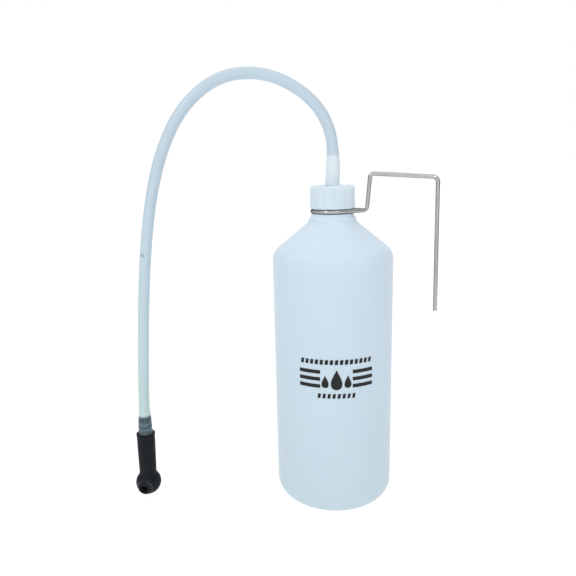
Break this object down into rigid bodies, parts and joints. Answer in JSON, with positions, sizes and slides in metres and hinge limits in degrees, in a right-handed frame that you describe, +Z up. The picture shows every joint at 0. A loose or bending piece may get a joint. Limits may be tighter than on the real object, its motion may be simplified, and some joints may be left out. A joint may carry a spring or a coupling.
{
  "type": "brake bleeding catch bottle",
  "caption": "Translucent catch bottle with a spouted screw cap, an arched clear hose ending in a rubber nipple elbow, and a bent wire hanger on its neck.",
  "frame": {"origin": "centre of the standing ring under the bottle, on the bottle's axis", "axes": "+Z up along the bottle's axis, towards the cap; +X towards the hanger's leg; the hose falls on the -X side, turned 9 degrees towards -Y"},
  "size_m": [0.2318, 0.0886, 0.3186],
  "materials": {
    "bottle_plastic": "translucent natural polyethylene, satin",
    "cap_plastic": "natural polyethylene, satin",
    "liner_foam": "closed-cell foam, matt",
    "hose_plastic": "translucent soft hose, slightly glossy",
    "connector_plastic": "dark moulded plastic",
    "adapter_rubber": "black moulded rubber, matt",
    "hanger_wire": "drawn stainless wire, satin"
  },
  "bodies": {
    "bottle": {"bottle": "bottle_plastic"},
    "liner": {"cap_liner": "liner_foam"},
    "cap": {"screw_cap": "cap_plastic", "hose": "hose_plastic", "barbed_connector": "connector_plastic"},
    "adapter": {"nipple_adapter": "adapter_rubber"},
    "hanger": {"wire_hanger": "hanger_wire"}
  },
  "joints": [
    {"name": "cap_lift", "type": "slide", "parent": "bottle", "child": "liner", "axis": [0, 0, 1], "range_m": [0, 0.0053]},
    {"name": "cap_turn", "type": "hinge", "parent": "liner", "child": "cap", "pos_m": [0, 0, 0.2212], "axis": [0, 0, 1], "range_deg": [0, 450]},
    {"name": "adapter_turn", "type": "hinge", "parent": "cap", "child": "adapter", "pos_m": [-0.1442, -0.02284, 0.0538], "axis": [0.017, 0.0027, 0.9999], "continuous": true},
    {"name": "hanger_swivel", "type": "hinge", "parent": "bottle", "child": "hanger", "pos_m": [0, 0, 0.21935], "axis": [0, 0, 1], "continuous": true}
  ],
  "couplings": [
    {"joint": "cap_lift", "follows": "cap_turn", "m_per_rad": 0.00067322}
  ]
}
